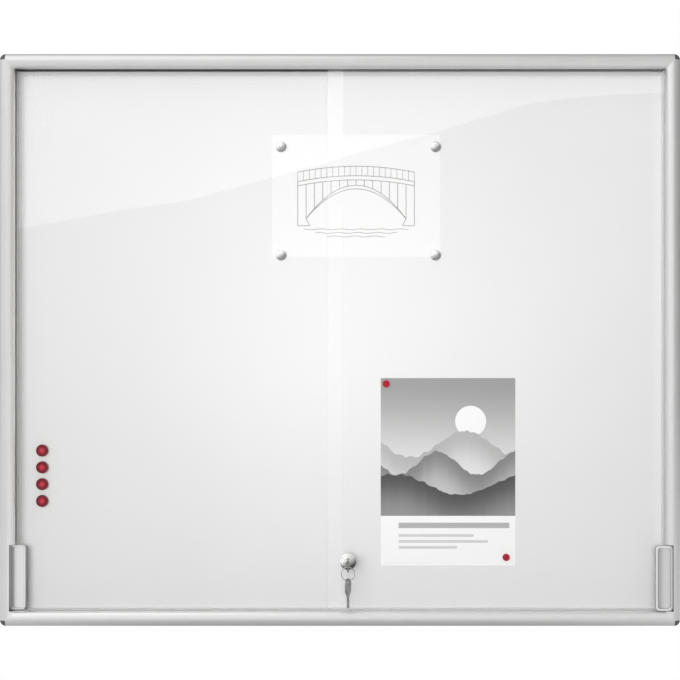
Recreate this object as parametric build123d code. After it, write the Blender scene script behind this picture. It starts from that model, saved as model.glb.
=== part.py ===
from build123d import *
import os
from math import cos, radians, sin, sqrt, tan

os.makedirs("parts", exist_ok=True)

# Millimetres. X runs to the right, Z runs up, the front faces -Y and the wall plane is Y = 0.
# Depths are distances from the wall, so a depth d lies at Y = -d.
# Sections are drawn in two numbers: inward from the outer edge, and depth from the wall.

# Frame
case_width = 1130
case_height = 950
face_width = 25
lip_rise = 11
wall = 1.8
rear_wall_reach = 22
chamber_width = 10.2
cap_size = 10

# Back panel
sheet_thickness = 0.5
core_thickness = 7
panel_play = 0.1
panel_edge_play = 0.5

# Glass doors
glass_thickness = 4
display_depth = 16.2
pane_gap = 10
pane_play = 0.5
pane_side_inset = 12
pane_floor_inset = 8
pane_top_inset = 15.5
pane_overlap = 26.6
overlap_centre = -7.5
pane_arris = 0.5
open_door_margin = 65

# Tracks, seals and stops
rib = 1.5
guide_base = 1.8
guide_reach = 22
track_floor = 5
track_reach = 14
end_play = 0.2
stop_play = 0.3
stop_side_play = 0.2
stop_top_inset = 13
seal_thickness = 1.4
seal_play = 0.3
seal_width = 7
shoe_length = 40
shoe_inset = 60
track_screw_count = 5
track_screw_radius = 1.6
track_screw_head_radius = 2.6
track_screw_head = 1.8

# Finger pulls
pull_width = 28
pull_tall = 107.8
pull_inset = 13
pull_lip_play = 0.7
pull_height_above_glass = 9
pad_thickness = 0.5
pad_margin = 4
pull_rim = 3.5
pull_floor = 1.2
pull_corner = 6
pull_edge_round = 0.9
dish_corner = 4
notch_play = 1.5
notch_side_play = 0.6
rear_pull_cover = 3.6

# Corner keys
corner_key_leg = 60
corner_key_play = 0.1
corner_screw_from_edge = 38
corner_screw_radius = 1.9
corner_screw_head_radius = 3.4
corner_screw_head = 1.5
corner_screw_length = 14
cross_span = 4
cross_width = 0.9
cross_depth = 1.2

# Wall keyholes
keyhole_from_end = 100
keyhole_radius = 4.5
keyhole_slot = 4.6
keyhole_rise = 11

# Lock
lock_from_pane_edge = 34
lock_above_sill = 106.5
moving_play = 0.3
thread_play = 0.05
lock_stroke = 10
barrel_radius = 9.2
glass_hole_play = 0.3
flange_radius = 13.5
flange_thickness = 3.2
flange_round = 1.2
gasket_thickness = 0.8
gasket_setback = 0.5
nut_radius = 12.5
nut_thickness = 2.3
nut_slot_depth = 2
nut_slot_width = 3
collar_radius = 11.5
collar_length = 16
collar_round = 3.4
head_radius = 7
head_round = 0.9
head_locked_proud = 1.5
stem_radius = 5
stem_chamfer = 0.8
lock_shoulder = 2.1
spring_length = 16.5
spring_wire = 0.45
spring_mean_radius = 6.15
spring_turns = 5
plug_radius = 4.5
plug_wall = 1

# Keys
key_thickness = 2.4
bow_length = 26
bow_height = 24
bow_corner = 9
neck_length = 3
neck_root = 2
neck_step = 2
blade_length = 19
blade_height = 7
key_hole_radius = 4
key_hole_from_end = 6
bit_count = 4
bit_depth = 1.6
shallow_bit_depth = 0.96
bit_margin = 4.75
bit_pitch = 3.42
key_tip_cut = 3
shoulder_play = 0.6
ring_wire = 0.8
ring_radius = 11
spare_twist = 20

# Notices and magnets
paper = 0.25
drawing_size = (282, 205)
drawing_x = 27
drawing_drop = 130
poster_size = (226, 315)
poster_x = 181.5
poster_rise = 96
red_magnet_count = 4
red_magnet_radius = 10
red_magnet_height = 8
red_magnet_round = 1.6
red_dish_radius = 6.5
red_dish_depth = 0.8
red_magnet_inset = 65
red_magnet_rise = 204.9
red_magnet_pitch = 28.2
core_radius = 7.5
core_height = 3
silver_magnet_radius = 9.5
silver_magnet_height = 6.5
silver_magnet_round = 6
silver_from_left = 15
silver_from_right = 7.5
silver_from_top = 20
silver_from_bottom = 3
small_magnet_radius = 6
small_magnet_height = 5
small_magnet_round = 1.2
small_from_top_left = (9, 9.5)
small_from_bottom_right = (15.5, 14)

# How far cutting shapes run past the faces they cut
cut_over = 1
rear_wall_cut_over = 0.1
edge_tolerance = 0.001

# Depths from the wall, worked out from the sizes above
core_back = wall + sheet_thickness
sheet_back = core_back + core_thickness
panel_front = sheet_back + sheet_thickness
groove_front = panel_front + panel_play
rear_pane_back = panel_front + display_depth
rear_pane_front = rear_pane_back + glass_thickness
front_pane_back = rear_pane_front + pane_gap
front_pane_front = front_pane_back + glass_thickness
shelf_front = rear_pane_back - pane_play - rib
lip_base = front_pane_front + pane_play + rib

# Places across the case
half_width = case_width / 2
half_height = case_height / 2
chamber_inner = wall + chamber_width
groove_floor = chamber_inner + wall
panel_half_x = half_width - groove_floor - panel_edge_play
panel_half_z = half_height - groove_floor - panel_edge_play
pane_low = pane_floor_inset - half_height
pane_high = half_height - pane_top_inset
rear_pane_left = pane_side_inset - half_width
rear_pane_right = overlap_centre + pane_overlap / 2
front_pane_left = overlap_centre - pane_overlap / 2
front_pane_right = half_width - pane_side_inset
door_travel = half_width - open_door_margin
pull_low = face_width - half_height + pull_lip_play
pull_top = pull_low + pull_tall
front_notch_inset = pull_inset - notch_side_play
rear_notch_inset = pull_inset + rear_pull_cover
keyhole_height = half_height - keyhole_from_end
lock_x = front_pane_left + lock_from_pane_edge
lock_z = lock_above_sill - half_height
drawing_centre = (drawing_x, half_height - drawing_drop - drawing_size[1] / 2)
poster_centre = (poster_x, poster_rise + poster_size[1] / 2 - half_height)
red_magnet_x = red_magnet_inset - half_width
red_magnet_low_z = red_magnet_rise - half_height
track_half = half_width - cap_size - end_play
corners = [(-1, 1), (1, 1), (-1, -1), (1, -1)]
corner_names = ["top_left", "top_right", "bottom_left", "bottom_right"]

# One section plane per side of the case, with its first axis inward and its second towards the front
side_planes = {
    "top": Plane((half_width, 0, half_height), x_dir=(0, 0, -1), z_dir=(-1, 0, 0)),
    "bottom": Plane((-half_width, 0, -half_height), x_dir=(0, 0, 1), z_dir=(1, 0, 0)),
    "left": Plane((-half_width, 0, half_height), x_dir=(1, 0, 0), z_dir=(0, 0, -1)),
    "right": Plane((half_width, 0, -half_height), x_dir=(-1, 0, 0), z_dir=(0, 0, 1)),
}
side_lengths = {"top": case_width, "bottom": case_width, "left": case_height, "right": case_height}


def save(name, shape):
    export_step(shape, f"parts/{name}.step")


def strip(inset_0, inset_1, depth_0, depth_1):
    """A rectangle in a section, between two insets and two depths."""
    middle = Pos((inset_0 + inset_1) / 2, (depth_0 + depth_1) / 2)
    return middle * Rectangle(inset_1 - inset_0, depth_1 - depth_0)


def side_bar(side, section, start, end):
    """A section run along one side of the case, between two distances from that side's first corner."""
    return extrude(side_planes[side].offset(start) * section, amount=end - start)


def block(x_0, x_1, z_0, z_1, depth_0, depth_1):
    """A box between two places in each direction."""
    middle = Pos((x_0 + x_1) / 2, -(depth_0 + depth_1) / 2, (z_0 + z_1) / 2)
    return middle * Box(x_1 - x_0, depth_1 - depth_0, z_1 - z_0)


def rod(radius, depth_0, depth_1, x=lock_x, z=lock_z):
    """A round bar that points straight out of the wall."""
    foot = Plane((x, -depth_0, z), x_dir=(1, 0, 0), z_dir=(0, -1, 0))
    return foot * Cylinder(radius, depth_1 - depth_0, align=(Align.CENTER, Align.CENTER, Align.MIN))


def prism(points, depth_0, depth_1):
    """A straight-sided outline given as X and Z pairs, run between two depths."""
    corners_3d = [(x, -depth_0, z) for x, z in points]
    return extrude(make_face(Polyline(*corners_3d, close=True)), amount=depth_1 - depth_0, dir=(0, -1, 0))


def front_edges(shape, depth):
    """The edges of a shape that lie wholly at one depth."""
    return shape.edges().filter_by_position(Axis.Y, -depth - edge_tolerance, -depth + edge_tolerance)


# Frame extrusion section
lip_middle = Pos(face_width / 2, lip_base)
lip_outer = lip_middle * Ellipse(face_width / 2, lip_rise)
lip_inner = lip_middle * Ellipse(face_width / 2 - wall, lip_rise - wall)
lip_zone = strip(0, face_width, lip_base, lip_base + lip_rise)
lip_web = strip(front_notch_inset - wall, front_notch_inset, lip_base, lip_base + lip_rise)
frame_section = (lip_outer - lip_inner) & lip_zone
frame_section += lip_web & lip_outer
frame_section += strip(0, wall, 0, lip_base)
frame_section += strip(0, rear_wall_reach, 0, wall)
frame_section += strip(chamber_inner, groove_floor, 0, shelf_front)
frame_section += strip(0, face_width, shelf_front - wall, shelf_front)
frame_section += strip(face_width - wall, face_width, groove_front, shelf_front)
frame_section += strip(chamber_inner, face_width, groove_front, groove_front + wall)

# Corner screws and wall keyholes that pass through the frame's rear wall
chamber_middle = wall + chamber_width / 2
screw_places = []
for sign_x, sign_z in corners:
    along_x = (half_width - corner_screw_from_edge) * sign_x
    along_z = (half_height - corner_screw_from_edge) * sign_z
    screw_places.append((along_x, (half_height - chamber_middle) * sign_z))
    screw_places.append(((half_width - chamber_middle) * sign_x, along_z))


def corner_screw(x, z, play):
    """A countersunk screw driven from the wall side, with room added round its shank."""
    foot = Plane((x, 0, z), x_dir=(1, 0, 0), z_dir=(0, -1, 0))
    seat = (Align.CENTER, Align.CENTER, Align.MIN)
    head = foot * Cone(corner_screw_head_radius, corner_screw_radius, corner_screw_head, align=seat)
    shank = rod(corner_screw_radius + play, 0, corner_screw_length + play, x, z)
    return head + shank


def crossed_screw(x, z):
    """A corner screw with the cross recess in its head."""
    long_half = cross_span / 2
    short_half = cross_width / 2
    screw = corner_screw(x, z, 0)
    for half_x, half_z in ((long_half, short_half), (short_half, long_half)):
        screw -= block(x - half_x, x + half_x, z - half_z, z + half_z, -cut_over, cross_depth)
    return screw.solid()


screw_holes = [corner_screw(x, z, thread_play) for x, z in screw_places]
rear_wall_cut = wall + rear_wall_cut_over
keyhole_cuts = []
for sign_x, sign_z in corners:
    hole_x = (half_width - chamber_middle) * sign_x
    hole_z = keyhole_height * sign_z
    keyhole_cuts.append(rod(keyhole_radius, -cut_over, rear_wall_cut, hole_x, hole_z))
    slot_half = keyhole_slot / 2
    slot_top = hole_z + keyhole_rise
    slot_left = hole_x - slot_half
    slot_right = hole_x + slot_half
    keyhole_cuts.append(block(slot_left, slot_right, hole_z, slot_top, -cut_over, rear_wall_cut))
    keyhole_cuts.append(rod(slot_half, -cut_over, rear_wall_cut, hole_x, slot_top))

# Four mitred frame sides, with the corner cap places cut away and the two pull notches in the side lips
reach = 2 * face_width
mitre_outlines = {
    "top": [(-1, 1, 0), (1, 1, 0), (1, 1, reach), (-1, 1, reach)],
    "bottom": [(-1, -1, 0), (1, -1, 0), (1, -1, reach), (-1, -1, reach)],
    "left": [(-1, 1, 0), (-1, -1, 0), (-1, -1, reach), (-1, 1, reach)],
    "right": [(1, 1, 0), (1, -1, 0), (1, -1, reach), (1, 1, reach)],
}
frame_cut_front = lip_base + lip_rise + cut_over
cap_cuts = []
for sign_x, sign_z in corners:
    edge_x = half_width * sign_x
    edge_z = half_height * sign_z
    cap_x = edge_x - cap_size * sign_x
    cap_z = edge_z - cap_size * sign_z
    low_x, high_x = sorted((cap_x, edge_x + cut_over * sign_x))
    low_z, high_z = sorted((cap_z, edge_z + cut_over * sign_z))
    cap_cuts.append(block(low_x, high_x, low_z, high_z, -cut_over, frame_cut_front))
notch_low = face_width - half_height
notch_high = pull_top + notch_play
notch_cuts = []
for sign_x, notch_inset in ((-1, rear_notch_inset), (1, front_notch_inset)):
    inner_x = (half_width - face_width - cut_over) * sign_x
    outer_x = (half_width - notch_inset) * sign_x
    low_x, high_x = sorted((inner_x, outer_x))
    notch_cuts.append(block(low_x, high_x, notch_low, notch_high, lip_base - cut_over, frame_cut_front))
frame_sides = {}
for side, outline in mitre_outlines.items():
    bar = side_bar(side, frame_section, 0, side_lengths[side])
    wedge = [((half_width - d) * sign_x, (half_height - d) * sign_z) for sign_x, sign_z, d in outline]
    bar &= prism(wedge, -cut_over, frame_cut_front)
    bar -= cap_cuts + notch_cuts + keyhole_cuts + screw_holes
    frame_sides[side] = bar

# Each upright is in two lengths that meet at the top of its notch, so that its collision can follow the notch
for side in ("left", "right"):
    lengths = split(frame_sides[side], bisect_by=Plane.XY.offset(notch_high), keep=Keep.BOTH)
    frame_sides[side] = Compound(lengths.solids())

# Corner keys inside the frame chamber, and the plastic caps that close the outer corners
key_low = wall + corner_key_play
key_high = chamber_inner - corner_key_play
bend = cap_size - key_low
bend_middle = cap_size - bend * cos(radians(45))
cap_section = strip(0, wall, 0, shelf_front)
cap_section += strip(0, cap_size, shelf_front, lip_base)
cap_section += lip_outer & strip(0, cap_size, lip_base, lip_base + lip_rise)
key_insets = [
    (key_low, cap_size),
    (key_low, corner_key_leg),
    (key_high, corner_key_leg),
    (key_high, key_high),
    (corner_key_leg, key_high),
    (corner_key_leg, key_low),
    (cap_size, key_low),
    (bend_middle, bend_middle),
]
for corner_name, (sign_x, sign_z) in zip(corner_names, corners):
    key_points = [((half_width - i) * sign_x, -wall, (half_height - j) * sign_z) for i, j in key_insets]
    outline = Polyline(*key_points[:7])
    rounding = ThreePointArc(key_points[6], key_points[7], key_points[0])
    key_depth = shelf_front - 2 * wall - corner_key_play
    corner_key = extrude(make_face(outline + rounding), amount=key_depth, dir=(0, -1, 0))
    corner_key -= screw_holes
    save(f"corner_key_{corner_name}", corner_key)
    cap_z = (half_height - cap_size) * sign_z
    cap_plane = Plane((half_width * sign_x, 0, cap_z), x_dir=(-sign_x, 0, 0), z_dir=(0, 0, sign_x))
    turn_axis = Axis(((half_width - cap_size) * sign_x, 0, cap_z), (0, -sign_x * sign_z, 0))
    corner_cap = revolve(cap_plane * cap_section, axis=turn_axis, revolution_arc=90)
    save(f"corner_cap_{corner_name}", corner_cap)
save("corner_screws", Compound([crossed_screw(x, z) for x, z in screw_places]))

# Back panel in three layers
panel_layers = {
    "rear_sheet": (wall, core_back),
    "panel_core": (core_back, sheet_back),
    "steel_face": (sheet_back, panel_front),
}
for name, (depth_0, depth_1) in panel_layers.items():
    save(name, block(-panel_half_x, panel_half_x, -panel_half_z, panel_half_z, depth_0, depth_1))

# Top guide and bottom track, each a base with four ribs that make one groove per pane
rib_backs = [
    shelf_front,
    rear_pane_front + pane_play,
    front_pane_back - pane_play - rib,
    front_pane_front + pane_play,
]


def track(side, base_top, rib_top):
    """One track moulding, run between the two corner caps of its side."""
    section = strip(wall, base_top, shelf_front, lip_base)
    for rib_back in rib_backs:
        section += strip(wall, rib_top, rib_back, rib_back + rib)
    return side_bar(side, section, half_width - track_half, half_width + track_half)


track_middle = (rear_pane_front + front_pane_back) / 2
screw_gap = 2 * track_half / track_screw_count
track_screws = []
tracks = {}
for side, sign_z, base_top, rib_top in (
    ("top", 1, wall + guide_base, guide_reach),
    ("bottom", -1, track_floor, track_reach),
):
    tracks[side] = track(side, base_top, rib_top)
    for i in range(track_screw_count):
        screw_x = -track_half + screw_gap * (i + 0.5)
        head_z = (half_height - base_top) * sign_z
        foot = Plane((screw_x, -track_middle, head_z), z_dir=(0, 0, sign_z))
        seat = (Align.CENTER, Align.CENTER, Align.MIN)
        shank = foot * Cylinder(track_screw_radius, base_top - wall / 2, align=seat)
        head_seat = (Align.CENTER, Align.CENTER, Align.MAX)
        head = foot * Cylinder(track_screw_head_radius, track_screw_head, align=head_seat)
        track_screws.append((head + shank).solid())
        tracks[side] -= shank
        frame_sides[side] -= shank
    save(f"{side}_track", tracks[side])
save("track_screws", Compound(track_screws))
for side, bar in frame_sides.items():
    save(f"frame_{side}", bar)

# Closing seals at the two sides, each in the plane of the door that meets it
seal_plan = {"left": rear_pane_back, "right": front_pane_back}
for side, pane_back in seal_plan.items():
    seal_back = pane_back + (glass_thickness - seal_width) / 2
    seal_inner = pane_side_inset - seal_play
    seal = strip(wall, seal_inner, seal_back, seal_back + seal_width)
    hollow_front = seal_back + seal_width - seal_thickness
    seal -= strip(wall + seal_thickness, seal_inner - seal_thickness, seal_back + seal_thickness, hollow_front)
    from_top = guide_reach + end_play
    from_bottom = track_reach + end_play
    first, last = (from_top, from_bottom) if side == "left" else (from_bottom, from_top)
    save(f"{side}_seal", side_bar(side, seal, first, case_height - last))

# Stops that end each door's travel in its own groove
rear_stop_x = rear_pane_right + door_travel + stop_play
front_stop_x = front_pane_left - door_travel - stop_play
stop_low = track_floor - half_height
stop_high = stop_top_inset - half_height
for name, x_0, x_1, pane_back in (
    ("left_door_stop", rear_stop_x, track_half, rear_pane_back),
    ("right_door_stop", -track_half, front_stop_x, front_pane_back),
):
    stop_back = pane_back - pane_play + stop_side_play
    stop_front = pane_back + glass_thickness + pane_play - stop_side_play
    save(name, block(x_0, x_1, stop_low, stop_high, stop_back, stop_front))

# Glass doors with their shoes and finger pulls
lock_hole = rod(barrel_radius + glass_hole_play, front_pane_back - cut_over, front_pane_front + cut_over)
door_plan = {
    "left": (rear_pane_left, rear_pane_right, rear_pane_back, -1),
    "right": (front_pane_left, front_pane_right, front_pane_back, 1),
}
for side, (x_0, x_1, pane_back, sign_x) in door_plan.items():
    pane_front = pane_back + glass_thickness
    pane = block(x_0, x_1, pane_low, pane_high, pane_back, pane_front)
    pane = chamfer(pane.edges(), pane_arris)
    if side == "right":
        pane -= lock_hole
    save(f"{side}_glass", pane)
    shoes = []
    for shoe_x in (x_0 + shoe_inset, x_1 - shoe_inset - shoe_length):
        shoe = block(shoe_x, shoe_x + shoe_length, stop_low, pane_low, pane_back, pane_front)
        shoes.append(shoe.solid())
    save(f"{side}_door_shoes", Compound(shoes))
    edge_x = (half_width - pull_inset) * sign_x
    pull_x = edge_x - pull_width / 2 * sign_x
    pull_z = (pull_low + pull_top) / 2
    pad_half = pull_width / 2 - pad_margin
    pad_tall = pull_tall / 2 - pad_margin
    pad_front = pane_front + pad_thickness
    pad_block = block(
        pull_x - pad_half, pull_x + pad_half, pull_z - pad_tall, pull_z + pad_tall, pane_front, pad_front
    )
    save(f"{side}_pull_pad", pad_block)
    pull_face = Plane((pull_x, -pad_front, pull_z), x_dir=(1, 0, 0), z_dir=(0, -1, 0))
    pull_thick = pull_height_above_glass - pad_thickness
    pull = extrude(pull_face * RectangleRounded(pull_width, pull_tall, pull_corner), amount=pull_thick)
    dish_sketch = RectangleRounded(pull_width - 2 * pull_rim, pull_tall - 2 * pull_rim, dish_corner)
    dish = extrude(pull_face.offset(pull_floor) * dish_sketch, amount=pull_thick)
    pull -= dish
    pull = fillet(front_edges(pull, pane_front + pull_height_above_glass), pull_edge_round)
    save(f"{side}_finger_pull", pull)

# Lock parts fixed to the front pane
flange_back = front_pane_front + gasket_thickness
flange_front = flange_back + flange_thickness
collar_front = flange_front + collar_length
washer_back = front_pane_back - gasket_thickness
nut_back = washer_back - nut_thickness
shoulder_front = nut_back + lock_shoulder
lock_body = rod(flange_radius, flange_back, flange_front)
lock_body = fillet(front_edges(lock_body, flange_front), flange_round)
collar = rod(collar_radius, flange_back, collar_front)
collar = fillet(front_edges(collar, collar_front), collar_round)
lock_body += collar
lock_body += rod(barrel_radius, nut_back, flange_back)
lock_body -= rod(head_radius + moving_play, shoulder_front, collar_front + cut_over)
lock_body -= rod(stem_radius + moving_play, nut_back - cut_over, shoulder_front + cut_over)
save("lock_body", lock_body)
bore = barrel_radius + thread_play
front_gasket = rod(flange_radius - gasket_setback, front_pane_front, flange_back)
front_gasket -= rod(bore, front_pane_front - cut_over, flange_back + cut_over)
save("lock_gasket", front_gasket)
rear_washer = rod(nut_radius, washer_back, front_pane_back)
rear_washer -= rod(bore, washer_back - cut_over, front_pane_back + cut_over)
save("lock_washer", rear_washer)
nut = rod(nut_radius, nut_back, washer_back)
nut -= rod(bore, nut_back - cut_over, washer_back + cut_over)
slot_low = lock_z - nut_slot_width / 2
slot_high = lock_z + nut_slot_width / 2
for slot_x in (lock_x - nut_radius, lock_x + nut_radius):
    slot_left = slot_x - nut_slot_depth
    slot_right = slot_x + nut_slot_depth
    nut -= block(slot_left, slot_right, slot_low, slot_high, nut_back - cut_over, washer_back + cut_over)
save("lock_nut", nut)

# Coil spring that pushes the lock cylinder out, wound in half turns
spring_foot = shoulder_front + spring_wire
spring_rise = spring_length - 2 * spring_wire


def spring_point(turns):
    angle = radians(360 * turns)
    x = lock_x + spring_mean_radius * cos(angle)
    z = lock_z + spring_mean_radius * sin(angle)
    return (x, -spring_foot - spring_rise * turns / spring_turns, z)


half_turns = []
for i in range(2 * spring_turns):
    start = i / 2
    half_turns.append(ThreePointArc(spring_point(start), spring_point(start + 0.25), spring_point(start + 0.5)))
spring_path = Wire(half_turns)
spring_end = Plane(spring_path @ 0, z_dir=spring_path % 0)
save("lock_spring", sweep(spring_end * Circle(spring_wire), path=spring_path))

# Lock cylinder that slides in and out, with the turning plug inside it
head_back = shoulder_front + spring_length
head_front = collar_front + head_locked_proud + lock_stroke
plug_back = head_back + plug_wall
cylinder = rod(head_radius, head_back, head_front)
cylinder = fillet(front_edges(cylinder, head_front), head_round)
stem = rod(stem_radius, nut_back, head_back)
stem = chamfer(front_edges(stem, nut_back), stem_chamfer)
cylinder += stem
cylinder -= rod(plug_radius + moving_play, plug_back, head_front + cut_over)
save("lock_cylinder", cylinder)
slot_height = blade_height + 2 * moving_play
slot_width = key_thickness + 2 * moving_play
plug = rod(plug_radius, plug_back, head_front - moving_play)
plug -= block(
    lock_x - slot_width / 2,
    lock_x + slot_width / 2,
    lock_z - slot_height / 2,
    lock_z + slot_height / 2,
    plug_back - cut_over,
    head_front + cut_over,
)
save("lock_plug", plug)

# Flat key, drawn with its bow end at zero and its blade along the second axis
key_length = bow_length + neck_length + blade_length
blade_start = bow_length + neck_length
bow = Pos(0, bow_length / 2) * RectangleRounded(bow_height, bow_length, bow_corner)
neck_middle = Pos(0, bow_length + (neck_length - neck_root) / 2)
neck = neck_middle * Rectangle(blade_height + 2 * neck_step, neck_length + neck_root)
blade = Pos(0, blade_start + blade_length / 2) * Rectangle(blade_height, blade_length)
key_sketch = bow + neck + blade
key_sketch -= Pos(0, key_hole_from_end) * Circle(key_hole_radius)
for i in range(bit_count):
    bit_at = blade_start + bit_margin + bit_pitch * i
    cut = bit_depth if i % 2 else shallow_bit_depth
    edge = blade_height / 2
    mouth = edge + cut_over
    half_mouth = cut + cut_over
    bit = Polyline((mouth, bit_at - half_mouth), (edge - cut, bit_at), (mouth, bit_at + half_mouth), close=True)
    key_sketch -= make_face(bit)
key_tip = Pos(0, key_length) * Rot(0, 0, 45) * Rectangle(key_tip_cut, key_tip_cut)
key_sketch -= Pos(blade_height / 2, 0) * key_tip
key_sketch -= Pos(-blade_height / 2, 0) * key_tip


def flat_key(place):
    """One key: its hole centre at the plane's origin, its blade along the plane's second axis."""
    sheet = place * (Pos(0, -key_hole_from_end) * key_sketch)
    return extrude(sheet, amount=key_thickness / 2, both=True)


hole_depth = head_front + shoulder_play + neck_length + bow_length - key_hole_from_end
in_lock = Plane((lock_x, -hole_depth, lock_z), x_dir=(0, 0, 1), z_dir=(-1, 0, 0))
lock_key = flat_key(in_lock)
save("lock_key", lock_key)

# Split ring through the key's bow, and the spare key that hangs from it
hang = key_hole_radius - ring_wire - moving_play
ring_top_z = lock_z - hang
ring_place = Plane((lock_x, -hole_depth, ring_top_z - ring_radius), x_dir=(1, 0, 0), z_dir=(0, -1, 0))
save("key_ring", ring_place * Torus(ring_radius, ring_wire))
twist = radians(spare_twist)
side_room = key_thickness / 2 * tan(twist) + ring_wire / cos(twist)
spare_hang = sqrt((key_hole_radius - moving_play) ** 2 - side_room**2) - ring_wire
spare_hole_z = ring_top_z - 2 * ring_radius - spare_hang
spare_place = Plane(
    (lock_x, -hole_depth, spare_hole_z), x_dir=(sin(twist), cos(twist), 0), z_dir=(-cos(twist), sin(twist), 0)
)
save("spare_key", flat_key(spare_place))

# Notices on the panel
paper_front = panel_front + paper
for name, (size_x, size_z), (mid_x, mid_z) in (
    ("drawing_sheet", drawing_size, drawing_centre),
    ("poster_sheet", poster_size, poster_centre),
):
    low_x = mid_x - size_x / 2
    low_z = mid_z - size_z / 2
    save(name, block(low_x, low_x + size_x, low_z, low_z + size_z, panel_front, paper_front))

# Red magnets, each a plastic cap over a magnet disc
for i in range(red_magnet_count):
    z = red_magnet_low_z + red_magnet_pitch * (red_magnet_count - 1 - i)
    cap_front = panel_front + red_magnet_height
    cap = rod(red_magnet_radius, panel_front, cap_front, red_magnet_x, z)
    cap = fillet(front_edges(cap, cap_front), red_magnet_round)
    dish_back = cap_front - red_dish_depth
    core_front = panel_front + core_height
    cap -= rod(red_dish_radius, dish_back, cap_front + cut_over, red_magnet_x, z)
    cap -= rod(core_radius, panel_front - cut_over, core_front, red_magnet_x, z)
    save(f"red_magnet_{i + 1}", cap)
    save(f"red_magnet_core_{i + 1}", rod(core_radius, panel_front, core_front, red_magnet_x, z))

# Silver magnets near the drawing's corners and small red magnets in two corners of the poster
drawing_left = drawing_centre[0] - drawing_size[0] / 2
drawing_low = drawing_centre[1] - drawing_size[1] / 2
silver_x = (drawing_left + silver_from_left, drawing_left + drawing_size[0] - silver_from_right)
silver_z = (drawing_low + drawing_size[1] - silver_from_top, drawing_low + silver_from_bottom)
silver_magnet_places = [(x, z) for z in silver_z for x in silver_x]
poster_left = poster_centre[0] - poster_size[0] / 2
poster_low = poster_centre[1] - poster_size[1] / 2
poster_right = poster_left + poster_size[0]
poster_top = poster_low + poster_size[1]
small_magnet_places = [
    (poster_left + small_from_top_left[0], poster_top - small_from_top_left[1]),
    (poster_right - small_from_bottom_right[0], poster_low + small_from_bottom_right[1]),
]
for i, (x, z) in enumerate(silver_magnet_places):
    dome_front = paper_front + silver_magnet_height
    dome = rod(silver_magnet_radius, paper_front, dome_front, x, z)
    dome = fillet(front_edges(dome, dome_front), silver_magnet_round)
    save(f"silver_magnet_{i + 1}", dome)
for i, (x, z) in enumerate(small_magnet_places):
    small_front = paper_front + small_magnet_height
    small = rod(small_magnet_radius, paper_front, small_front, x, z)
    small = fillet(front_edges(small, small_front), small_magnet_round)
    save(f"small_red_magnet_{i + 1}", small)
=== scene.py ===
import math

import bpy
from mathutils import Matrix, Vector


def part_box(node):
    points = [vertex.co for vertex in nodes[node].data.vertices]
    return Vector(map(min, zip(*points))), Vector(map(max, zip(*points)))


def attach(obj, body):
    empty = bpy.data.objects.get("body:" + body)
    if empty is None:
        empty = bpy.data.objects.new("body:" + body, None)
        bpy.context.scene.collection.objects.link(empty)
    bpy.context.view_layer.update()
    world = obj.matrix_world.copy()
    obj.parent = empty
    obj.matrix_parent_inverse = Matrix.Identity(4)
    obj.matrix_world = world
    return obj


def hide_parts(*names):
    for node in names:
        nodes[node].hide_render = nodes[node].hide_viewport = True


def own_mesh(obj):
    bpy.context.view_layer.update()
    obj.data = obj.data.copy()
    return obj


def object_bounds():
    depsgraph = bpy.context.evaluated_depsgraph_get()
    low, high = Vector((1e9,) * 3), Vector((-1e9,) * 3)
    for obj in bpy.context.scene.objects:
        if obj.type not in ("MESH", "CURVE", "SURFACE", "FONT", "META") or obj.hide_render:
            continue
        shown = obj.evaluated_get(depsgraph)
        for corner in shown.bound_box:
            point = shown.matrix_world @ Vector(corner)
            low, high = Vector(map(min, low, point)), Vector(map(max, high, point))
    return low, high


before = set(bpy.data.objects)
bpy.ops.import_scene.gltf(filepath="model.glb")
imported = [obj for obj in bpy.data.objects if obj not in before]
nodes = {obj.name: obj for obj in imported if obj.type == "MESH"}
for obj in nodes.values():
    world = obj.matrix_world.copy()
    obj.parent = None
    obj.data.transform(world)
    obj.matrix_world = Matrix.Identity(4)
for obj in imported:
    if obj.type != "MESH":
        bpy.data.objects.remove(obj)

# Metres. X runs to the right, Z runs up, the front faces -Y and the wall plane is Y = 0.
cad_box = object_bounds()
scene = bpy.context.scene
scene.view_settings.view_transform = "Standard"
scene.cycles.transparent_max_bounces = 24

# Camera, straight in front of the case
view_plane_y = -0.046
camera_distance = 3.2
sensor_width = 36
case_width = cad_box[1].x - cad_box[0].x

# Studio
bright_side = Vector((-0.75, -0.60, 0.28)).normalized()
dark_side_tint = (1.0, 0.955, 0.915, 1.0)
white = (1.0, 1.0, 1.0, 1.0)
reflected_dark = 0.30
reflected_bright = 1.12
reflected_falloff = 1.7
ambient_dark = 0.36
ambient_bright = 1.04
ambient_share = 0.44
key_direction = Vector((-0.16, -1.0, 0.07))
key_strength = 2.3
key_angle = 0.5
glow_place = Vector((-0.2, -3.2, 0.4))
glow_power = 128
glow_cone = 0.225
glow_fade = 1.0
glow_radius = 0.3
softbox_place = Vector((-0.55, -0.60, 1.35))
softbox_size = 1.3
softbox_power = 3.2
window_place = Vector((-1.7, -2.0, 1.6))
window_size = 0.8
window_power = 4.5
floor_z = -0.80
floor_radius = 7.0
floor_sides = 48
floor_white_from = 0.3
floor_white_to = 1.1

# Glare on the glass: where the reflected card's lower edge crosses the photograph, in its pixels
photo_pixels = 680
glare_edge = [(-60, 240), (22, 227), (121, 209), (189, 199), (262, 179), (350, 155),
              (447, 129), (525, 104), (559, 99), (607, 95), (740, 89)]
glare_card_distance = 1.3
glare_card_top = 1.2
glare_strength = 4.1

# Frame and pulls: grey level, roughness and how metallic
frame_metal = {"level": 0.64, "roughness": 0.34, "metallic": 0.7}
pull_metal = {"level": 0.75, "roughness": 0.36, "metallic": 0.3}

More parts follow.
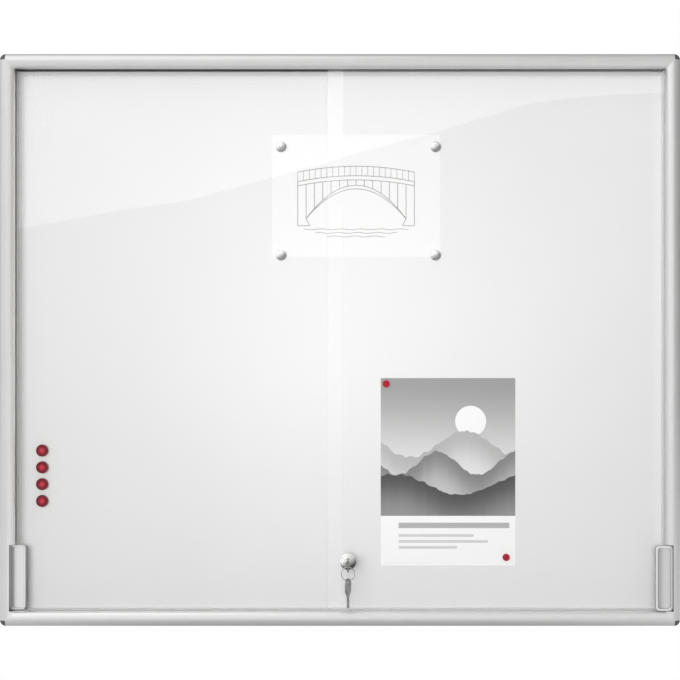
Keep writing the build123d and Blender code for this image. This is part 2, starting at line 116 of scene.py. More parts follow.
# The door channel behind the frame's rounded lip: its front, its back and its start in from the outer faces
channel_front = -0.0455
channel_back = -0.012
channel_inset = 0.0009
channel_edge = 0.0005
channel_metallic = 0.15

# The lip is painted brighter towards its inner edge, a painted highlight, between these distances from the
# outer face
lip_plain_to = 0.011
lip_highlight_from = 0.018

# A pull's dish: where its floor starts behind the rim's front, and the darker tone painted on its rim as
# painted shade
dish_edge_from = 0.0008
dish_edge_to = 0.0014
dish_rim_shade_share = 0.76
dish_rim_edge = 0.001

# Painted sheen on the glass where the panes overlap, as a share of what is seen there
overlap_sheen_strength = 0.06

# Print on the two sheets
line_width = 0.0012
thin_line_width = line_width * 0.7
water_line_width = line_width * 0.8
print_lift = 0.00006

# Most of a noise's values lie between these
noise_low = 0.3
noise_high = 0.7


class Graph:
    """Builds a node tree: a new material's, round its Principled shader, or the world's."""

    def __init__(self, name):
        self.material = bpy.data.materials.new(name)
        self.material.use_nodes = True
        self.tree = self.material.node_tree
        self.shader = self.tree.nodes["Principled BSDF"]
        self.output = self.tree.nodes["Material Output"]

    @classmethod
    def over(cls, tree):
        """The same helper over a tree that exists."""
        graph = cls.__new__(cls)
        graph.tree = tree
        return graph

    def put(self, socket, value):
        """Links an output to a socket, or sets the socket's own value."""
        if isinstance(value, bpy.types.NodeSocket):
            self.tree.links.new(value, socket)
        else:
            socket.default_value = value

    def add(self, kind, inputs=None, **settings):
        """Adds a node with its settings and inputs."""
        node = self.tree.nodes.new(kind)
        for name, value in settings.items():
            setattr(node, name, value)
        for name, value in (inputs or {}).items():
            self.put(node.inputs[name], value)
        return node

    def surface(self, **inputs):
        """Sets the Principled shader's inputs, named with underscores for spaces."""
        for name, value in inputs.items():
            self.put(self.shader.inputs[name.replace("_", " ")], value)

    def mix_shaders(self, share, first, second):
        """A shader node between two shader nodes."""
        return self.add("ShaderNodeMixShader", {0: share, 1: first.outputs[0], 2: second.outputs[0]})

    def show(self, shader):
        """Makes a shader node the material's surface."""
        self.put(self.output.inputs["Surface"], shader.outputs[0])

    def math(self, operation, first, second=0.0):
        """One sum on two values."""
        node = self.add("ShaderNodeMath", {0: first, 1: second}, operation=operation)
        return node.outputs[0]

    def without(self, share):
        """What a share leaves of one."""
        return self.math("SUBTRACT", 1.0, share)

    def reach(self, across, up):
        """How far a place is from a centre, from its two offsets."""
        squares = [self.math("MULTIPLY", offset, offset) for offset in (across, up)]
        return self.math("SQRT", self.math("ADD", *squares))

    def near(self, value, centre, half):
        """One where a value is within half of a centre, and nought elsewhere."""
        offset = self.math("ABSOLUTE", self.math("SUBTRACT", value, centre))
        return self.math("LESS_THAN", offset, half)

    def place(self):
        """The place on the piece in metres, as X, Y and Z outputs."""
        where = self.add("ShaderNodeTexCoord").outputs["Object"]
        return self.add("ShaderNodeSeparateXYZ", {0: where}).outputs

    def scaled_place(self, per_metre):
        """The place on the piece in features of a pattern, so many to the metre along X, Y and Z."""
        where = self.add("ShaderNodeTexCoord").outputs["Object"]
        scale = per_metre if isinstance(per_metre, tuple) else (per_metre,) * 3
        return self.add("ShaderNodeMapping", {"Vector": where, "Scale": scale}).outputs[0]

    def noise(self, per_metre, detail=3.0):
        """Noise with so many features to the metre, one number or three."""
        inputs = {"Vector": self.scaled_place(per_metre), "Scale": 1.0, "Detail": detail}
        return self.add("ShaderNodeTexNoise", inputs).outputs["Fac"]

    def spread(self, value, low, high, from_low=noise_low, from_high=noise_high):
        """Spreads a value, a noise if nothing else is said, over low to high."""
        inputs = {"Value": value, "From Min": from_low, "From Max": from_high}
        inputs.update({"To Min": low, "To Max": high})
        return self.add("ShaderNodeMapRange", inputs).outputs[0]

    def ease(self, value, start, end):
        """A smooth step from 0 at start to 1 at end."""
        inputs = {"Value": value, "From Min": start, "From Max": end, "To Min": 0.0, "To Max": 1.0}
        return self.add("ShaderNodeMapRange", inputs, interpolation_type="SMOOTHSTEP").outputs[0]

    def blend(self, share, first, second):
        """A colour between two colours."""
        node = self.add("ShaderNodeMix", {0: share, 6: first, 7: second}, data_type="RGBA")
        return node.outputs[2]

    def vary(self, noise, first, second):
        """A colour that wanders between two colours with a noise."""
        return self.blend(self.spread(noise, 0.0, 1.0), first, second)

    def bump(self, height, depth, strength=1.0):
        """Raises the surface by a height, as deep as said in metres."""
        inputs = {"Height": height, "Distance": depth, "Strength": strength}
        self.surface(Normal=self.add("ShaderNodeBump", inputs).outputs[0])


def grey(level, warmth=0.0):
    """A grey, slightly warm or cool."""
    return (level * (1 + warmth), level, level * (1 - warmth), 1.0)


def brushed_metal(
    name, along, level, roughness, metallic, channel_painted_level=None, lip_highlight_level=None, dish=None
):
    """Satin metal with fine grain along one axis and broad faint patches.

    The door channel and the lip's inner edge get painted tones where their levels are given: the channel's
    tone is painted shade or painted light, and the lip's inner edge is painted brighter as a painted
    highlight. A dish is given as its front, three X places and two shares of the level. Behind that front,
    its floor is painted with shade, going from the first share to the second between the first two places.
    Its rim is painted darker from the third place on, as painted shade.
    """
    grain_along, grain_across = 9.0, 1400.0
    grain_part, patch_part = 0.6, 0.4
    dark_share, light_share = 0.95, 1.04
    smooth_share, rough_share = 0.86, 1.14
    g = Graph(name)
    grain = g.noise(tuple(grain_along if axis == along else grain_across for axis in "XYZ"), detail=4.0)
    patches = g.noise(per_metre=14.0)
    tone = g.math("ADD", g.math("MULTIPLY", grain, grain_part), g.math("MULTIPLY", patches, patch_part))
    colour = g.vary(tone, grey(level * dark_share), grey(level * light_share))
    where = g.place()
    # Painted highlight: the lip is painted brighter towards its inner edge
    if lip_highlight_level:
        axis, outer = ("X", cad_box[1].x) if along == "Z" else ("Z", cad_box[1].z)
        lip_highlight = g.ease(g.math("ABSOLUTE", where[axis]), outer - lip_plain_to, outer - lip_highlight_from)
        colour = g.blend(lip_highlight, colour, grey(lip_highlight_level))
    # The door channel is painted one tone of its own: dark as painted shade, or light as painted light
    if channel_painted_level:
        inside = g.ease(where["Y"], channel_front - channel_edge, channel_front + channel_edge)
        inside = g.math("MULTIPLY", inside, g.math("LESS_THAN", where["Y"], channel_back))
        for axis, outer in (("X", cad_box[1].x), ("Z", cad_box[1].z)):
            within = g.math("LESS_THAN", g.math("ABSOLUTE", where[axis]), outer - channel_inset)
            inside = g.math("MULTIPLY", inside, within)
        colour = g.blend(inside, colour, grey(channel_painted_level))
        metallic = g.spread(inside, metallic, channel_metallic, 0.0, 1.0)
    # Painted shade: the dish floor is painted darker towards its left side, and the rim darker from the third
    # place on
    if dish:
        front, shaded_x, bright_x, rim_x, shaded_share, bright_share = dish
        sunk = g.ease(where["Y"], front + dish_edge_from, front + dish_edge_to)
        over_floor = g.ease(where["X"], shaded_x, bright_x)
        floor_tone = g.blend(over_floor, grey(level * shaded_share), grey(level * bright_share))
        over_rim = g.ease(where["X"], rim_x, rim_x + dish_rim_edge)
        colour = g.blend(over_rim, colour, grey(level * dish_rim_shade_share))
        colour = g.blend(sunk, colour, floor_tone)
    g.surface(Base_Color=colour, Metallic=metallic)
    g.surface(Roughness=g.spread(tone, roughness * smooth_share, roughness * rough_share))
    g.bump(grain, depth=0.000004)
    return g.material


def cast_metal(name, level, roughness, warmth=0.0):
    """Bare metal with fine even grain and dull patches."""
    dark_share, light_share = 0.82, 1.08
    rough_share, smooth_share = 1.3, 0.8
    g = Graph(name)
    grain = g.noise(per_metre=900.0, detail=5.0)
    dull = g.noise(per_metre=60.0)
    colour = g.vary(dull, grey(level * dark_share, warmth), grey(level * light_share, warmth))
    g.surface(Base_Color=colour, Metallic=1.0)
    g.surface(Roughness=g.spread(dull, roughness * rough_share, roughness * smooth_share))
    g.bump(grain, depth=0.00003, strength=0.6)
    return g.material


def painted_dome_metal(name, centre, radius, lean, dark, bright, roughness):
    """Plated metal with fine turned rings about a centre, painted bright towards the upper left as a painted
    highlight and dark away from it as painted shade.

    The lean is how far the bright side points to the left, from 0 for straight up to 1.
    """
    ring_phase_per_metre = 9000.0
    wander = 0.12
    dark_to, bright_from = -0.55, 0.45
    rough_share, smooth_share = 1.3, 0.8
    g = Graph(name)
    where = g.place()
    across = g.math("SUBTRACT", where["X"], centre.x)
    up = g.math("SUBTRACT", where["Z"], centre.z)
    rings = g.math("SINE", g.math("MULTIPLY", g.reach(across, up), ring_phase_per_metre))
    rise = math.sqrt(1 - lean ** 2)
    upwards = g.math("MULTIPLY", up, rise / radius)
    towards = g.math("SUBTRACT", upwards, g.math("MULTIPLY", across, lean / radius))
    dull = g.noise(per_metre=300.0)
    towards = g.math("ADD", towards, g.spread(dull, -wander, wander))
    # Painted highlight towards the upper left and painted shade towards the lower right
    colour = g.blend(g.ease(towards, dark_to, bright_from), grey(dark), grey(bright))
    g.surface(Base_Color=colour, Metallic=0.75)
    g.surface(Roughness=g.spread(dull, roughness * rough_share, roughness * smooth_share))
    g.bump(rings, depth=0.000004, strength=0.5)
    return g.material


def moulded_plastic(name, colour, roughness, grain=1500.0, gloss=0.5):
    """Plastic with a fine moulded grain, so many to the metre, and slight tone changes."""
    dark_share = 0.88
    rough_share, smooth_share = 1.15, 0.88
    g = Graph(name)
    fine = g.noise(grain, detail=2.0)
    broad = g.noise(per_metre=40.0)
    darker = tuple(part * dark_share for part in colour)
    g.surface(Base_Color=g.vary(broad, (*darker, 1.0), (*colour, 1.0)), Specular_IOR_Level=gloss)
    g.surface(Roughness=g.spread(broad, roughness * rough_share, roughness * smooth_share))
    g.bump(fine, depth=0.00002, strength=0.5)
    return g.material


def magnet_red(first, pitch):
    """Red moulded cap whose dished middle is painted paler as a painted highlight; the caps stand in a column
    at an even pitch.
    """
    middle_to, rim_from = 0.0025, 0.0062
    g = Graph("magnet_red")
    where = g.place()
    across = g.math("SUBTRACT", where["X"], first.x)
    up = g.math("SUBTRACT", where["Z"], first.z - pitch / 2)
    up = g.math("SUBTRACT", g.math("FLOORED_MODULO", up, pitch), pitch / 2)
    fine = g.noise(per_metre=700.0, detail=2.0)
    # Painted highlight: the middle of each cap is painted a paler red
    middle = g.vary(fine, (0.50, 0.020, 0.050, 1.0), (0.58, 0.030, 0.064, 1.0))
    rim = g.vary(fine, (0.15, 0.001, 0.007, 1.0), (0.19, 0.001, 0.010, 1.0))
    g.surface(Base_Color=g.blend(g.ease(g.reach(across, up), middle_to, rim_from), middle, rim))
    g.surface(Roughness=g.spread(fine, 0.30, 0.40), Specular_IOR_Level=0.2)
    g.bump(fine, depth=0.00002, strength=0.5)
    return g.material


def white_enamel():
    """Baked white enamel with a faint ripple."""
    g = Graph("white_enamel")
    ripple = g.noise(per_metre=260.0, detail=2.0)
    broad = g.noise(per_metre=5.0)
    g.surface(Base_Color=g.vary(broad, grey(0.752), grey(0.764)))
    g.surface(Roughness=g.spread(ripple, 0.36, 0.42))
    g.bump(ripple, depth=0.00002, strength=0.3)
    return g.material


def galvanised_sheet():
    """Zinc coated steel with its crystal pattern."""
    crystal_part, fine_part = 0.7, 0.3
    cool = -0.01
    g = Graph("galvanised_sheet")
    spangle = g.add("ShaderNodeTexVoronoi", {"Vector": g.scaled_place(90.0), "Scale": 1.0})
    crystal = g.add("ShaderNodeSeparateXYZ", {0: spangle.outputs["Color"]}).outputs["X"]
    fine = g.noise(per_metre=500.0)
    tone = g.math("ADD", g.math("MULTIPLY", crystal, crystal_part), g.math("MULTIPLY", fine, fine_part))
    g.surface(Base_Color=g.blend(tone, grey(0.48, cool), grey(0.66, cool)), Metallic=1.0)
    g.surface(Roughness=g.spread(tone, 0.36, 0.52, 0.0, 1.0))
    g.bump(tone, depth=0.00004, strength=0.4)
    return g.material


def core_board():
    """Pressed fibre board, closed in on all sides."""
    g = Graph("core_board")
    fibre = g.noise(per_metre=(900.0, 250.0, 900.0), detail=6.0)
    g.surface(Base_Color=g.vary(fibre, (0.25, 0.17, 0.10, 1.0), (0.44, 0.33, 0.21, 1.0)))
    g.surface(Roughness=g.spread(fibre, 0.75, 0.92))
    g.bump(fibre, depth=0.0002)
    return g.material


def door_glass():
    """Clear float glass: the front skin mirrors sharply, and the cut edges are greenish.

    A faint white layer is painted where the two panes overlap when shut, a painted sheen for the doubled
    reflection of the two panes.
    """
    mirror_ior = 1.36
    clear_tint = (0.998, 0.9995, 0.999, 1.0)
    edge_facing = 0.5
    g = Graph("door_glass")
    rays = g.add("ShaderNodeLightPath").outputs
    shape = g.add("ShaderNodeNewGeometry").outputs
    looked_at = g.without(g.math("MAXIMUM", rays["Is Shadow Ray"], rays["Is Diffuse Ray"]))
    front_skin = g.math("MULTIPLY", looked_at, g.without(shape["Backfacing"]))
    fresnel = g.add("ShaderNodeFresnel", {"IOR": mirror_ior}).outputs[0]
    clear = g.add("ShaderNodeBsdfTransparent", {"Color": clear_tint})
    gloss = g.add("ShaderNodeBsdfGlossy", {"Roughness": 0.0})
    pane = g.mix_shaders(g.math("MULTIPLY", fresnel, front_skin), clear, gloss)
    x = g.place()["X"]
    overlap = g.math("GREATER_THAN", x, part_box("right_glass")[0].x)
    overlap = g.math("MULTIPLY", overlap, g.math("LESS_THAN", x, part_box("left_glass")[1].x))
    # Painted sheen: a faint white diffuse layer where the panes overlap
    overlap_sheen_share = g.math("MULTIPLY", g.math("MULTIPLY", overlap, overlap_sheen_strength), front_skin)
    overlap_sheen = g.add("ShaderNodeBsdfDiffuse", {"Color": grey(0.95)})
    pane = g.mix_shaders(overlap_sheen_share, pane, overlap_sheen)
    smear = g.noise(per_metre=7.0)
    g.surface(Base_Color=g.vary(smear, (0.50, 0.66, 0.60, 1.0), (0.60, 0.74, 0.69, 1.0)), Roughness=0.25)
    facing = g.add("ShaderNodeSeparateXYZ", {0: shape["Normal"]}).outputs["Y"]
    edge = g.math("LESS_THAN", g.math("ABSOLUTE", facing), edge_facing)
    g.show(g.mix_shaders(g.math("MULTIPLY", edge, looked_at), pane, g.shader))
    return g.material


def paper_fibre(g):
    """The fine fibre of a sheet of paper, longest up the sheet."""
    return g.noise(per_metre=(1800.0, 1800.0, 700.0), detail=4.0)


def paper(name, level):
    """Plain printing paper with a faint fibre."""
    dark_share = 0.985
    g = Graph(name)
    fibre = paper_fibre(g)
    g.surface(Base_Color=g.vary(fibre, grey(level * dark_share), grey(level)))
    g.surface(Roughness=g.spread(fibre, 0.62, 0.74))
    g.bump(fibre, depth=0.00002, strength=0.5)
    return g.material


def poster_paper():
    """A printed sheet: grey hills under a pale disc, out to three of its edges, over plain grey bars."""
    picture_low = -0.074
    sky_from = picture_low + 0.05
    disc_x, disc_z, disc_radius = 0.038, 0.085, 0.026
    ragged_middle = 0.5
    hill_fade = 0.07
    g = Graph("poster_paper")
    low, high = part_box("poster_sheet")
    middle = (low + high) / 2
    where = g.place()
    x = g.math("SUBTRACT", where["X"], middle.x)
    z = g.math("SUBTRACT", where["Z"], middle.z)
    sky = g.blend(g.ease(z, sky_from, high.z - middle.z), grey(0.74), grey(0.30))
    from_disc = g.reach(g.math("SUBTRACT", x, disc_x), g.math("SUBTRACT", z, disc_z))
    picture = g.blend(g.math("LESS_THAN", from_disc, disc_radius), sky, grey(0.86))
    ragged = g.noise(per_metre=(70.0, 1.0, 1.0), detail=5.0)
    ragged = g.math("SUBTRACT", ragged, ragged_middle)
    for base, swell, waves, shift, top_grey, foot_grey in (
        (0.046, 0.022, 34.0, 0.6, 0.42, 0.70),
        (0.014, 0.020, 47.0, 2.4, 0.20, 0.52),
        (-0.022, 0.017, 29.0, 4.1, 0.055, 0.26),
    ):
        wave = g.math("SINE", g.math("ADD", g.math("MULTIPLY", x, waves), shift))
        crest = g.math("ADD", g.math("MULTIPLY", wave, swell), base)
        crest = g.math("ADD", crest, g.math("MULTIPLY", ragged, swell))
        below = g.math("SUBTRACT", crest, z)
        tone = g.blend(g.ease(below, 0.0, hill_fade), grey(top_grey), grey(foot_grey))
        picture = g.blend(g.math("GREATER_THAN", below, 0.0), picture, tone)
    sheet = g.blend(g.math("GREATER_THAN", z, picture_low), grey(0.90), picture)
    for centre_x, centre_z, half_x, half_z, level in (
        (0.010, -0.090, 0.093, 0.0045, 0.42),
        (-0.020, -0.107, 0.063, 0.0022, 0.60),
        (-0.008, -0.117, 0.075, 0.0022, 0.60),
        (-0.034, -0.127, 0.049, 0.0022, 0.60),
    ):
        bar = g.math("MULTIPLY", g.near(x, centre_x, half_x), g.near(z, centre_z, half_z))
        sheet = g.blend(bar, sheet, grey(level))
    fibre = paper_fibre(g)
    g.surface(Base_Color=sheet, Roughness=g.spread(fibre, 0.42, 0.52))
    g.bump(fibre, depth=0.00002, strength=0.4)
    return g.material


def ink():
    """Pale pencil grey with a broken tone along the line."""
    g = Graph("drawing_ink")
    grain = g.noise(per_metre=420.0, detail=4.0)
    g.surface(Base_Color=g.vary(grain, grey(0.22), grey(0.40)))
    g.surface(Roughness=g.spread(grain, 0.7, 0.9))
    return g.material


def dress(material, *names):
    """Gives CAD nodes a material."""
    for name in names:
        nodes[name].material_slots[0].material = material


def numbered(name):
    """The names of four like nodes."""
    return [f"{name}_{i}" for i in range(1, 5)]


def cornered(name):
    """The names of the nodes at the frame's four corners."""
    return [f"{name}_{corner}" for corner in ("top_left", "top_right", "bottom_left", "bottom_right")]


# Finish of every CAD node
# The top channel is painted near black as painted shade, the other channels are painted light as painted
# light, and the lips' inner edges are painted brighter as painted highlights
for side, along, channel_painted_level, lip_highlight_level in (
    ("top", "X", 0.09, None),
    ("bottom", "X", 0.84, 0.80),
    ("left", "Z", 0.84, 0.88),
    ("right", "Z", 0.84, 0.70),
):
    tones = {"channel_painted_level": channel_painted_level, "lip_highlight_level": lip_highlight_level}
    dress(brushed_metal(f"frame_aluminium_{side}", along, **frame_metal, **tones), f"frame_{side}")
# Each pull's dish floor is painted with shade, dark at its left and lighter to its right, and the right
# pull's rim is painted darker at its right side
for side, places, shares in (
    ("left", (0.0066, 0.0102, 0.04), (0.70, 1.04)),
    ("right", (0.002, 0.017, 0.024), (0.45, 0.84)),
):
    pull_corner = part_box(f"{side}_finger_pull")[0]
    shaded_dish = (pull_corner.y, *(pull_corner.x + across for across in places), *shares)
    dress(brushed_metal(f"{side}_pull_aluminium", "Z", **pull_metal, dish=shaded_dish), f"{side}_finger_pull")
cap_plastic = moulded_plastic("corner_cap_plastic", (0.075, 0.078, 0.082), roughness=0.45)
dress(cap_plastic, *cornered("corner_cap"))
dress(cast_metal("corner_key_alloy", level=0.50, roughness=0.5), *cornered("corner_key"))
dress(cast_metal("screw_steel", level=0.60, roughness=0.28), "corner_screws", "track_screws")
dress(galvanised_sheet(), "rear_sheet")
dress(core_board(), "panel_core")
dress(white_enamel(), "steel_face")
dress(moulded_plastic("track_plastic", (0.82, 0.825, 0.83), roughness=0.42), "bottom_track")
# The top guide is painted near black as painted shade under the top lip
dress(moulded_plastic("guide_plastic", (0.016, 0.016, 0.017), roughness=0.6), "top_track")
rubber = moulded_plastic("seal_rubber", (0.05, 0.05, 0.052), roughness=0.7, grain=2500.0)
dress(rubber, "left_seal", "right_seal", "left_door_stop", "right_door_stop")
nylon = moulded_plastic("shoe_nylon", (0.62, 0.61, 0.58), roughness=0.5)
dress(nylon, "left_door_shoes", "right_door_shoes")
foam = moulded_plastic("pad_foam", (0.16, 0.16, 0.165), roughness=0.85, grain=3500.0)
dress(foam, "left_pull_pad", "right_pull_pad")
dress(door_glass(), "left_glass", "right_glass")
dress(paper("drawing_paper", level=0.825), "drawing_sheet")
dress(poster_paper(), "poster_sheet")
# The lock's chrome is painted white towards the upper left and near black towards the lower right, a painted
# highlight and painted shade
lock_centre = sum(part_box("lock_body"), Vector()) / 2
lock_chrome = painted_dome_metal(
    "lock_chrome", lock_centre, radius=0.0135, lean=0.35, dark=0.05, bright=0.95, roughness=0.2
)
dress(lock_chrome, "lock_body", "lock_nut", "lock_cylinder")
gasket_rubber = moulded_plastic("gasket_rubber", (0.04, 0.04, 0.042), roughness=0.65, grain=2500.0)
dress(gasket_rubber, "lock_gasket", "lock_washer")
dress(cast_metal("spring_steel", level=0.45, roughness=0.3), "lock_spring")
dress(cast_metal("plug_nickel", level=0.40, roughness=0.25, warmth=0.04), "lock_plug")
dress(cast_metal("key_steel", level=0.28, roughness=0.28), "lock_key", "spare_key")
dress(cast_metal("ring_steel", level=0.52, roughness=0.2), "key_ring")
red_places = [sum(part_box(f"red_magnet_{i}"), Vector()) / 2 for i in range(1, 5)]
red_pitch = red_places[0].z - red_places[1].z
dress(magnet_red(red_places[0], red_pitch), *numbered("red_magnet"))
small_red = moulded_plastic("small_magnet_red", (0.38, 0.001, 0.018), roughness=0.34, grain=700.0, gloss=0.2)
dress(small_red, "small_red_magnet_1", "small_red_magnet_2")
dress(cast_metal("magnet_ferrite", level=0.18, roughness=0.55), *numbered("red_magnet_core"))
# Each silver magnet is painted bright towards the upper left and dark towards the lower right, a painted
# highlight and painted shade
for silver in numbered("silver_magnet"):
    silver_centre = sum(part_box(silver), Vector()) / 2
    silver_dome = painted_dome_metal(
        silver, silver_centre, radius=0.0095, lean=0.5, dark=0.30, bright=0.97, roughness=0.24
    )
    dress(silver_dome, silver)


class Lines:
    """Collects thin flat lines that lie on the drawing sheet."""

    def __init__(self, depth):
        self.depth = depth
        self.corners = []
        self.quads = []

    def draw(self, points, width=line_width):
        """A line through X and Z points, each run one flat strip."""
        for start, end in zip(points, points[1:]):
            along = Vector(end) - Vector(start)
            side = Vector((-along.y, along.x)).normalized() * (width / 2)
            first = len(self.corners)
            for point, sign in ((start, -1), (end, -1), (end, 1), (start, 1)):
                self.corners.append((point[0] + sign * side.x, self.depth, point[1] + sign * side.y))
            self.quads.append(tuple(range(first, first + 4)))


def drawing_lines():
    """A plain arched footbridge with its railing, piers and the water under it."""
    low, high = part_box("drawing_sheet")
    middle_x = (low.x + high.x) / 2
    deck_z = low.z + 0.126
    deck_rise = 0.010
    half_span = 0.084
    half_deck = 0.098
    arch_foot = deck_z - 0.062
    arch_rise = 0.050
    arch_thick = 0.006
    deck_thick = 0.007
    rail_height = 0.016
    post_gap = 0.0098
    pier_gap = 0.014
    least_pier = 0.004
    bank_foot = arch_foot - 0.012
    bank_inner = half_span - 0.006
    water_top = arch_foot - 0.018
    water_gap = 0.006
    water_height = 0.0009
    water_phase_per_metre = 190
    water_rows = 3
    water_share, water_share_step = 0.9, 0.2
    lines = Lines(low.y - print_lift)

    def camber(x):
        return deck_z + deck_rise * (1 - (x / half_deck) ** 2)

    def arch(x, rise):
        return arch_foot + rise * (1 - (x / half_span) ** 2)

    def curve(height, half, steps=28):
        across = [half * (2 * i / steps - 1) for i in range(steps + 1)]
        return [(middle_x + x, height(x)) for x in across]

    def upright(x, foot, top, width=line_width):
        lines.draw([(middle_x + x, foot), (middle_x + x, top)], width)

    for lift in (0.0, -deck_thick, rail_height):
        lines.draw(curve(lambda x: camber(x) + lift, half_deck))
    for rise in (arch_rise, arch_rise + arch_thick):
        lines.draw(curve(lambda x: arch(x, rise), half_span))
    post_count = round(half_deck / post_gap)
    for i in range(-post_count, post_count + 1):
        x = i * post_gap
        upright(x, camber(x), camber(x) + rail_height, thin_line_width)
    pier_count = int(half_span / pier_gap)
    for i in range(-pier_count, pier_count + 1):
        x = i * pier_gap
        foot = arch(x, arch_rise + arch_thick)
        if camber(x) - deck_thick - foot > least_pier:
            upright(x, foot, camber(x) - deck_thick)
    for sign in (-1, 1):
        bank = [(half_deck, camber(half_deck)), (half_deck, bank_foot),
                (bank_inner, bank_foot), (half_span, arch_foot)]
        lines.draw([(middle_x + sign * x, z) for x, z in bank])
    for row in range(water_rows):
        water_z = water_top - water_gap * row
        half = half_deck * (water_share - water_share_step * row)
        ripple = curve(lambda x: water_z + water_height * math.sin(x * water_phase_per_metre + row), half)
        lines.draw(ripple, water_line_width)
    mesh = bpy.data.meshes.new("drawing_lines")
    mesh.from_pydata(lines.corners, [], lines.quads)
    drawing = bpy.data.objects.new("drawing_lines", mesh)
    scene.collection.objects.link(drawing)
    mesh.materials.append(ink())
    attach(drawing, "case")


def coil_spring():
    """The lock's spring as a piece of its own that rides on the right door, in place of the CAD spring, which
    is hidden.
    """
    coil = bpy.data.objects.new("coil_spring", nodes["lock_spring"].data.copy())
    scene.collection.objects.link(coil)
    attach(coil, "right_door")
    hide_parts("lock_spring")
    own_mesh(coil)


def camera():
    """A camera in front of the middle, which the case's width just fills."""
    data = bpy.data.cameras.new("camera")
    data.sensor_width = sensor_width
    data.lens = sensor_width * camera_distance / case_width
    eye = bpy.data.objects.new("camera", data)
    eye.location = (0, view_plane_y - camera_distance, 0)
    eye.rotation_euler = (math.radians(90), 0, 0)
    scene.collection.objects.link(eye)
    scene.camera = eye


def studio_world():
    """White for the camera, and a soft gradient for light and reflections, brightest in front at the left."""
    world = bpy.data.worlds.new("studio")
    world.use_nodes = True
    scene.world = world
    g = Graph.over(world.node_tree)
    where = g.add("ShaderNodeTexCoord").outputs["Generated"]
    towards = g.add("ShaderNodeVectorMath", {0: where, 1: bright_side}, operation="DOT_PRODUCT")
    share = g.spread(towards.outputs["Value"], 0.0, 1.0, -1.0, 1.0)
    ambient = g.spread(share, ambient_share * ambient_dark, ambient_share * ambient_bright, 0.0, 1.0)
    steep_share = g.math("POWER", share, reflected_falloff)
    reflected = g.spread(steep_share, reflected_dark, reflected_bright, 0.0, 1.0)
    rays = g.add("ShaderNodeLightPath").outputs
    unseen = g.add("ShaderNodeMix", {0: rays["Is Glossy Ray"], 2: ambient, 3: reflected}).outputs[0]
    seen = g.math("MAXIMUM", rays["Is Camera Ray"], rays["Is Transmission Ray"])
    level = g.add("ShaderNodeMix", {0: seen, 2: unseen, 3: 1.0}).outputs[0]
    background = g.tree.nodes["Background"]
    g.put(background.inputs["Color"], g.blend(g.math("MAXIMUM", share, seen), dark_side_tint, white))
    g.put(background.inputs["Strength"], level)


def lamp(name, kind, place, energy, **settings):
    """A lamp turned towards the middle of the case, which the camera doesn't show."""
    data = bpy.data.lights.new(name, kind)
    data.energy = energy
    for key, value in settings.items():
        setattr(data, key, value)
    light = bpy.data.objects.new(name, data)
    light.location = place
    light.rotation_euler = (-Vector(place)).to_track_quat("-Z", "Y").to_euler()
    light.visible_camera = False
    scene.collection.objects.link(light)
    return light


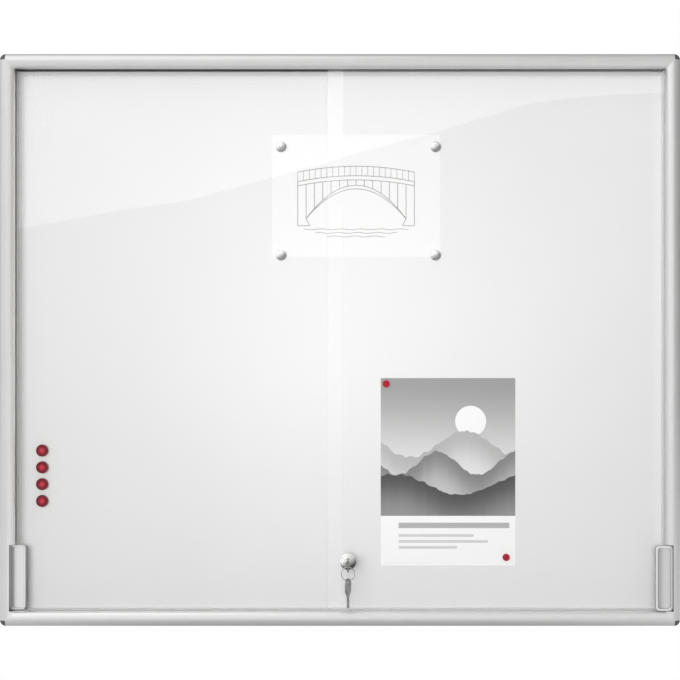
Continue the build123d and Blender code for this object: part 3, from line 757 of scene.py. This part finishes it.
def floor():
    """A round pale floor that turns white away from the object."""
    seen_near, seen_far = 0.55, 1.0
    mirrored_near, mirrored_far = 0.25, 0.95
    mesh = bpy.data.meshes.new("floor")
    turns = [2 * math.pi * i / floor_sides for i in range(floor_sides)]
    rim = [(floor_radius * math.cos(turn), floor_radius * math.sin(turn), 0) for turn in turns]
    mesh.from_pydata(rim, [], [range(floor_sides)])
    ground = bpy.data.objects.new("floor", mesh)
    ground.location.z = floor_z
    scene.collection.objects.link(ground)
    g = Graph("pale_floor")
    speck = g.noise(per_metre=30.0, detail=4.0)
    g.surface(Base_Color=g.vary(speck, grey(0.78), grey(0.82)), Roughness=0.8)
    where = g.add("ShaderNodeTexCoord").outputs["Object"]
    away = g.add("ShaderNodeVectorMath", {0: where}, operation="LENGTH").outputs["Value"]
    far = g.ease(away, floor_white_from, floor_white_to)
    seen = g.spread(far, seen_near, seen_far, 0.0, 1.0)
    mirrored = g.spread(far, mirrored_near, mirrored_far, 0.0, 1.0)
    rays = g.add("ShaderNodeLightPath").outputs
    for_camera = g.math("MULTIPLY", seen, rays["Is Camera Ray"])
    for_gloss = g.math("MULTIPLY", mirrored, rays["Is Glossy Ray"])
    glow = g.add("ShaderNodeEmission")
    g.show(g.mix_shaders(g.math("MAXIMUM", for_camera, for_gloss), g.shader, glow))
    mesh.materials.append(g.material)


def glare_card():
    """A white card that only sharp reflections show, with the wavy lower edge that the glass mirrors."""
    metres_per_pixel = case_width / photo_pixels
    spread = 1 + glare_card_distance / camera_distance
    y = view_plane_y - glare_card_distance
    edge = []
    for pixel_x, pixel_y in glare_edge:
        x = (pixel_x - photo_pixels / 2) * metres_per_pixel * spread
        z = (photo_pixels / 2 - pixel_y) * metres_per_pixel * spread
        edge.append((x, y, z))
    top = [(x, y, glare_card_top) for x, _, _ in edge]
    count = len(edge)
    quads = [(i, i + 1, count + i + 1, count + i) for i in range(count - 1)]
    mesh = bpy.data.meshes.new("glare_card")
    mesh.from_pydata(edge + top, [], quads)
    card = bpy.data.objects.new("glare_card", mesh)
    scene.collection.objects.link(card)
    g = Graph("card_white")
    sharp = g.add("ShaderNodeLightPath").outputs["Is Singular Ray"]
    clear = g.add("ShaderNodeBsdfTransparent")
    glow = g.add("ShaderNodeEmission", {"Strength": glare_strength})
    g.show(g.mix_shaders(sharp, clear, glow))
    mesh.materials.append(g.material)
    card.visible_camera = False
    card.visible_diffuse = False
    card.visible_shadow = False
    card.visible_transmission = False


def lamps():
    """A broad key and a soft glow that reflections don't show, and two panels for reflections alone."""
    key = lamp("key", "SUN", key_direction, key_strength, angle=key_angle)
    cone = {"spot_size": glow_cone, "spot_blend": glow_fade, "shadow_soft_size": glow_radius}
    glow = lamp("glow", "SPOT", glow_place, glow_power, **cone)
    for light in (key, glow):
        light.visible_glossy = False
    softbox = lamp("softbox", "AREA", softbox_place, softbox_power, size=softbox_size)
    window = lamp("window", "AREA", window_place, window_power, size=window_size)
    for light in (softbox, window):
        light.visible_diffuse = False


drawing_lines()
coil_spring()
camera()
studio_world()
floor()
glare_card()
lamps()
